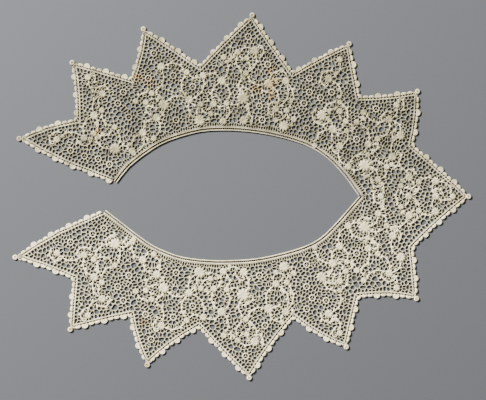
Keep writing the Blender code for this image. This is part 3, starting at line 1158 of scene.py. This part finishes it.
def scallopBlank(kind, wide, rise):
    blank = startDisc(edging["corners"]["scallops"])
    inEditMode("EDGE")
    bpy.ops.transform.resize(value=(wide / 2, rise, 1.0))
    foot = (0, -edging["foot"] * mm, 0)
    bpy.ops.mesh.bisect(plane_co=foot, plane_no=(0, 1, 0), clear_inner=True)
    selectAll("FACE")
    liftMiddle(*(edging[key][kind] for key in ("rimHigh", "rim", "middleHigh")))
    closeDown(blank, 0.0)
    return blank


def fanBlank():  # an open arc, where the two lines of the edge meet behind a knob
    wide, rise = edging["fanWidth"] / 2, edging["fanRise"]
    inner = 1 - edging["fanRim"] / wide
    blank = startDisc(edging["corners"]["fans"], fill="NOTHING")
    inEditMode("EDGE")
    lift(edging["rimHigh"]["fans"])
    bpy.ops.mesh.extrude_region_move()
    stretch(inner, inner)
    selectAll("EDGE")
    stretch(wide * mm, rise * mm)
    bpy.ops.mesh.bisect(plane_co=(0, 0, 0), plane_no=(0, 1, 0), clear_inner=True)
    turnOut()
    inObjectMode()
    faceUp(blank)
    return blank


def knobBlank():
    blank = startDisc(edging["corners"]["knobs"], collar["knobRadius"] * mm)
    inEditMode()
    lift(edging["rimHigh"]["knobs"])
    bpy.ops.mesh.inset(thickness=edging["knobThread"] * mm)
    bpy.ops.mesh.bisect(plane_co=(0, 0, 0), plane_no=(1, 0, 0))
    turnOut()
    inObjectMode()
    inner = (collar["knobRadius"] - edging["knobThread"]) * mm
    chooseFaces(blank, lambda face: face.center.xy.length < edging["knobWithin"] * inner)
    cutOut(edging["knobBar"])
    faceUp(blank)
    return blank


def buildScallops():
    places, made = edgePlaces(), []
    sizes = {
        "arches": (collar["archWidth"], collar["archRise"]),
        "domes": (collar["domeWidth"], collar["domeRise"]),
    }
    for kind, (wide, rise) in sizes.items():
        blank = scallopBlank(kind, wide * edging["fill"] * mm, rise * mm)
        made.append(placeCopies(kind, blank, places[kind]))
        smoothOver(made[-1], 0.0)
    for kind, blank in (("fans", fanBlank()), ("knobs", knobBlank())):
        made.append(placeCopies(kind, blank, places[kind]))
        finishShell(made[-1], edging["rimHigh"][kind], 0.0)
    counts = ", ".join(f"{len(spots)} {kind}" for kind, spots in places.items())
    print(f"edging: {counts}, {sum(len(m.data.polygons) for m in made)} faces")
    return made


def buildLadder(name, rows, size, levels=0):  # small gaps between paired rails
    points, faces = [], []
    for outer, inner in rows:
        first = len(points)
        points += [(*point, size["top"] * mm) for pair in zip(outer, inner) for point in pair]
        starts = range(first, len(points) - 2, 2)
        faces += [(n, n + 1, n + 3, n + 2) for n in starts]
    thing = linkMesh(name, points, faces)
    activate(thing)
    inEditMode()
    bpy.ops.mesh.remove_doubles(threshold=size["merge"] * mm)
    bpy.ops.mesh.select_all(action="SELECT")
    cutOut(size["thread"], size["droop"])
    bm = bmesh.new()
    bm.from_mesh(thing.data)
    down = [face for face in bm.faces if face.normal.z < 0]
    bmesh.ops.reverse_faces(bm, faces=down)
    bm.to_mesh(thing.data)
    bm.free()
    finishShell(thing, size["top"], 0.0, levels)
    print(f"{name}: {len(faces)} gaps, {len(thing.data.polygons)} faces")
    return thing


def bandRows():  # two gaps behind each scallop, one on each side of its neck
    rows = []
    for name, half in halves.items():
        for i, (side, inside) in enumerate(zip(half["sides"], half["insides"])):
            first, piece, runs = sideRuns(i, side)
            start = 0.0 if i else frontStart
            first -= start
            side, inside = trimmedPath(side, start, 0), trimmedPath(inside, start, 0)
            total = pathLength(side)
            marks = [first + begin + part for begin, wide, _ in runs for part in (0, wide / 2)]
            marks = [0.0] * (marks[0] > 1e-6) + marks + [first + pathLength(piece)]
            marks += [(marks[-1] + total) / 2] * (i % 2 == 0) + [total]
            if i % 2:
                marks.insert(1, marks[1] / 2)
            pair = []
            for path in (side, inside):
                length = pathLength(path)
                spots = [alongPath(path, length * (mark / total))[0] for mark in marks]
                pair.append(onSide(spots, signs[name]))
            rows.append(pair)
    return rows


def layEdgeCords():
    paths = []
    for name, half in halves.items():
        path = trimmedPath(joinSides(half["insides"]), frontStart, 0)
        paths.append(onSide(evenly(path, cords["edgeStep"] * mm), signs[name]))
    return layCords("edgeCords", paths, cords["edgeRadius"], cords["edgeHigh"])


# Heading: two round cords with a row of small gaps between them

heading = {
    "cordRadius": 0.76,
    "cordHigh": 0.9,
    "cordStep": 2.6,
    "cords": (0.93, 4.85),  # from the neck edge
    "rails": (1.1, 4.7),
    "step": 2.9,
    "thread": 0.3,
    "top": 0.8,
    "droop": 0.2,
    "merge": 0.02,
}


def besideNeck(half, key):
    return [toCentreLine(offsetPath(half["neck"], -deep * mm)) for deep in heading[key]]


def buildHeading():
    rows, paths = [], []
    for name, half in halves.items():
        rails = besideNeck(half, "rails")
        count = round(pathLength(rails[0]) / (heading["step"] * mm))
        rows.append([onSide(inParts(path, count), signs[name]) for path in rails])
        for path in besideNeck(half, "cords"):
            paths.append(onSide(evenly(path, heading["cordStep"] * mm), signs[name]))
    ladder = buildLadder("headingLadder", rows, heading)
    return ladder, layCords("headingCords", paths, heading["cordRadius"], heading["cordHigh"])


blossoms = placeRaised("blossoms", flowerBlank(), flowerPlaces())
leaves = placeRaised("leaves", leafBlank(), leafPlaces())
scrollCords, wheelCords = layScrolls(), layWheels()
arches, domes, fans, knobs = buildScallops()
band, edgeCords = buildLadder("edgingBand", bandRows(), edging["band"], levels=1), layEdgeCords()
ladder, headingCords = buildHeading()


# Thread: ivory linen, greyer in the upper half, with a few old stains, and painted shade low down
# in the gaps

thread = {
    "clean": (0.92, 0.82, 0.54),
    "grey": (0.30, 0.263, 0.151),
    "stain": (0.35, 0.21, 0.06),
    # painted shade: a near-black brown mixed into the thread low down in the gaps and on walls
    "gapShade": (0.075, 0.058, 0.036),
    "roughness": 0.82,
    "sheen": 0.25,
    "specular": 0.25,
    "stitch": 0.55,  # mm from stitch to stitch
    "wrap": 0.6,
    "wrapUneven": 1.2,
    "fuzz": (1600.0, 2.0),  # scale and detail, as in the noises of wear
    "bump": 0.5,
    "bumpHigh": 0.12,
}
wearAndShade = {
    "stainHeart": 0.25,  # share of a stain's radius at full strength
    "blots": (210.0, 3.0),
    "blotRange": ((0.35, 0.65), (0.35, 1.4)),
    "greyRange": ((-0.06, 0.08), (0.1, 0.8)),  # from the lower half, in metres, to the upper
    "clouds": (55.0, 4.0),
    "cloudRange": ((0.35, 0.65), (-0.3, 0.3)),
    "gapShadeHigh": (0.4, 1.25),  # painted shade: full and none, by height down in the gaps
    "grains": (420.0, 2.0),
    "grainRange": (0.3, 0.7),
}

# Old brown marks: x, y, radius in mm, strength
stainRows = (
    (41.8, 181.0, 9.0, 0.8), (45.0, 163.0, 11.0, 0.85), (42.0, 145.0, 9.0, 0.75),
    (21.6, 156.0, 11.0, 0.7), (-150.0, 172.0, 10.0, 0.8), (-133.0, 163.0, 12.0, 0.5),
    (-208.8, 94.0, 8.0, 0.85), (-142.6, -181.0, 10.0, 0.5), (-247.0, -192.0, 6.0, 0.8),
    (-138.0, -243.0, 6.0, 0.8), (312.0, -6.0, 11.0, 0.5),
)


def setInputs(tree, node, values):  # each a fixed value, or another node's output to link
    for key, value in values.items():
        if isinstance(value, bpy.types.NodeSocket):
            tree.links.new(value, node.inputs[key])
        else:
            node.inputs[key].default_value = value


def addNode(tree, kind, place, values={}, **settings):
    node = tree.nodes.new(kind)
    node.location = place
    for key, value in settings.items():
        setattr(node, key, value)
    setInputs(tree, node, values)
    return node


def addNoise(tree, place, points, scale, detail):
    values = {"Vector": points, "Scale": scale, "Detail": detail}
    return addNode(tree, "ShaderNodeTexNoise", place, values).outputs["Fac"]


def addRange(tree, place, value, before, after=(0.0, 1.0)):
    names = ("Value", "From Min", "From Max", "To Min", "To Max")
    values = dict(zip(names, (value, *before, *after)))
    return addNode(tree, "ShaderNodeMapRange", place, values).outputs["Result"]


def addMath(tree, place, operation, a, b, clamp=False):
    settings = {"operation": operation, "use_clamp": clamp}
    return addNode(tree, "ShaderNodeMath", place, {0: a, 1: b}, **settings).outputs["Value"]


def addMix(tree, place, share, a, b, blend="MIX"):
    values, settings = {"Factor": share, "A": a, "B": b}, {"data_type": "RGBA", "blend_type": blend}
    return addNode(tree, "ShaderNodeMix", place, values, **settings).outputs["Result"]


def agingAndShadeGroup():  # masks on the collar's own places; Depth is the mask of painted shade low down in the gaps
    group = bpy.data.node_groups.new("laceAgingAndShade", "ShaderNodeTree")
    group.interface.new_socket("Place", in_out="INPUT", socket_type="NodeSocketVector")
    for name in ("Stain", "Grey", "Speckle", "Depth"):
        group.interface.new_socket(name, in_out="OUTPUT", socket_type="NodeSocketFloat")
    place = addNode(group, "NodeGroupInput", (-1200, 0)).outputs["Place"]
    split = addNode(group, "ShaderNodeSeparateXYZ", (-900, -600), {"Vector": place}).outputs
    total = 0.0
    for n, (x, y, radius, strength) in enumerate(stainRows):
        high, values = 150 * n, {0: place, 1: (x * mm, y * mm, mm)}
        far = addNode(group, "ShaderNodeVectorMath", (-900, high), values, operation="DISTANCE")
        limits = (radius * wearAndShade["stainHeart"] * mm, radius * mm)
        fade = addRange(group, (-700, high), far.outputs["Value"], limits, (strength, 0.0))
        total = addMath(group, (-500, high), "MAXIMUM", total, fade)
    blots = addNoise(group, (-900, -300), place, *wearAndShade["blots"])
    patchy = addRange(group, (-600, -300), blots, *wearAndShade["blotRange"])
    clouds = addNoise(group, (-900, -800), place, *wearAndShade["clouds"])
    cloudy = addRange(group, (-600, -850), clouds, *wearAndShade["cloudRange"])
    half = addRange(group, (-600, -600), split["Y"], *wearAndShade["greyRange"])
    grains = addNoise(group, (-900, -1100), place, *wearAndShade["grains"])
    gapShade = [high * mm for high in wearAndShade["gapShadeHigh"]]
    masks = {
        "Stain": addMath(group, (300, 200), "MULTIPLY", total, patchy, clamp=True),
        "Grey": addMath(group, (-300, -700), "ADD", half, cloudy, clamp=True),
        "Speckle": addRange(group, (-600, -1100), grains, wearAndShade["grainRange"]),
        # painted shade by height: darkest low in the gaps, none at the thread tops
        "Depth": addRange(group, (-600, -450), split["Z"], gapShade, (1.0, 0.0)),
    }
    addNode(group, "NodeGroupOutput", (600, 0), masks)
    return group


agingAndShade = agingAndShadeGroup()


def threadFinish(name, tint, speckle, corded=False):
    material = bpy.data.materials.new(name)
    material.use_nodes = True
    tree = material.node_tree
    place = addNode(tree, "ShaderNodeTexCoord", (-1500, 0)).outputs["Object"]
    masks = addNode(tree, "ShaderNodeGroup", (-1200, 0), {"Place": place}, node_tree=agingAndShade).outputs
    clean, grey = ((*(c * t for c, t in zip(thread[key], tint)), 1) for key in ("clean", "grey"))
    body = addMix(tree, (-900, 100), masks["Grey"], clean, grey)
    fine = addRange(tree, (-900, -200), masks["Speckle"], (0.0, 1.0), (1.0 - speckle, 1.0))
    speckled = addMix(tree, (-600, 0), 1.0, body, fine, "MULTIPLY")
    # painted shade darkens the thread low down in the gaps
    gapShaded = addMix(tree, (-450, 0), masks["Depth"], speckled, (*thread["gapShade"], 1))
    brown = addMix(tree, (-300, 0), masks["Stain"], gapShaded, (*thread["stain"], 1))
    if corded:  # rings of stitches over a cord
        along = addNode(tree, "ShaderNodeAttribute", (-1200, -500), attribute_name="along")
        values = {
            "Vector": along.outputs["Fac"],
            "Scale": 2 * math.pi / (20 * thread["wrap"] * mm),
            "Distortion": thread["wrapUneven"],
        }
        worked = addNode(tree, "ShaderNodeTexWave", (-900, -500), values).outputs["Fac"]
    else:  # closely worked loops
        values = {"Vector": place, "Scale": 1 / (thread["stitch"] * mm)}
        worked = addNode(tree, "ShaderNodeTexVoronoi", (-900, -500), values).outputs["Distance"]
    fuzz = addNoise(tree, (-900, -800), place, *thread["fuzz"])
    relief = addMath(tree, (-600, -600), "ADD", worked, fuzz)
    values = {"Height": relief, "Strength": thread["bump"], "Distance": thread["bumpHigh"] * mm}
    bump = addNode(tree, "ShaderNodeBump", (-300, -500), values)
    values = {
        "Base Color": brown,
        "Roughness": thread["roughness"],
        "Specular IOR Level": thread["specular"],
        "Sheen Weight": thread["sheen"],
        "Normal": bump.outputs["Normal"],
    }
    setInputs(tree, tree.nodes["Principled BSDF"], values)
    return material


netThread = threadFinish("netThread", (0.56, 0.56, 0.53), 0.35)
flowerThread = threadFinish("flowerThread", (0.84, 0.835, 0.75), 0.25)
scallopThread = threadFinish("scallopThread", (1.0, 0.99, 0.94), 0.25)
cordThread = threadFinish("cordThread", (1.06, 1.05, 1.03), 0.12, corded=True)
headingThread = threadFinish("headingThread", (0.95, 0.93, 0.90), 0.25, corded=True)
tapeThread = threadFinish("tapeThread", (0.80, 0.78, 0.74), 0.25)


def dress(things, material):
    for thing in things:
        thing.data.materials.clear()
        thing.data.materials.append(material)
        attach(thing, "root")


def brightenLeaves(piece):  # the solid cells are worked as the flowers are
    piece.data.materials.append(flowerThread)
    worked = np.empty(len(piece.data.polygons), bool)
    piece.data.attributes["worked"].data.foreach_get("value", worked)
    piece.data.polygons.foreach_set("material_index", worked.astype(np.int32))


dress(nets, netThread)
for piece in nets:
    brightenLeaves(piece)
dress([blossoms, leaves], flowerThread)
dress([scrollCords, wheelCords], cordThread)
dress([arches, domes, fans, knobs, band], scallopThread)
dress([edgeCords], cordThread)
dress([ladder], tapeThread)
dress([headingCords], headingThread)
for piece, kind in ((nets[0], "lace_"), (band, "edging_"), (ladder, "heading_")):
    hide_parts(*[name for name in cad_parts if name.startswith(kind)])
for piece, (flat, area) in zip(nets, netCuts):
    print(f"{piece.name}: cut {flat[0] * 1000:.0f} x {flat[1] * 1000:.0f} mm, {area:.4f} m2")


# Plain floor, soft light and a camera straight above

studio = {
    "floor": (0.062, 0.064, 0.069),
    "floorSize": 12.0,
    "floorRough": 0.9,
    "sky": (0.95, 0.97, 1.0),
    "skyStrength": 0.13,
    "lights": {  # place, size, power
        "keyLight": ((-2.7, 2.5, 1.75), 0.75, 1230),
        "fillLight": ((1.6, -1.2, 2.4), 2.4, 18),
    },
    "frameWidth": 0.700,
    "cameraHigh": 3.0,
    "centre": (0.0014, -0.0050),
}


def buildStudio():
    bpy.ops.object.select_all(action="DESELECT")
    bpy.ops.mesh.primitive_plane_add(size=studio["floorSize"])
    floor = bpy.context.object
    floor.name = "studioFloor"
    material = bpy.data.materials.new("paleFloor")
    material.use_nodes = True
    shader = material.node_tree.nodes["Principled BSDF"]
    shader.inputs["Base Color"].default_value = (*studio["floor"], 1)
    shader.inputs["Roughness"].default_value = studio["floorRough"]
    floor.data.materials.append(material)
    world = bpy.context.scene.world or bpy.data.worlds.new("studioWorld")
    bpy.context.scene.world = world
    world.use_nodes = True
    sky = world.node_tree.nodes["Background"]
    sky.inputs["Color"].default_value = (*studio["sky"], 1)
    sky.inputs["Strength"].default_value = studio["skyStrength"]
    for name, (place, size, power) in studio["lights"].items():
        bpy.ops.object.light_add(type="AREA", location=place)
        light = bpy.context.object
        light.name = name
        light.data.size = size
        light.data.energy = power
        light.rotation_euler = (-Vector(place)).to_track_quat("-Z", "Y").to_euler()
    bpy.ops.object.camera_add(location=(*studio["centre"], studio["cameraHigh"]))
    camera = bpy.context.object
    camera.rotation_euler = (0, 0, 0)
    camera.data.lens = camera.data.sensor_width * studio["cameraHigh"] / studio["frameWidth"]
    bpy.context.scene.camera = camera


buildStudio()
print("finished")
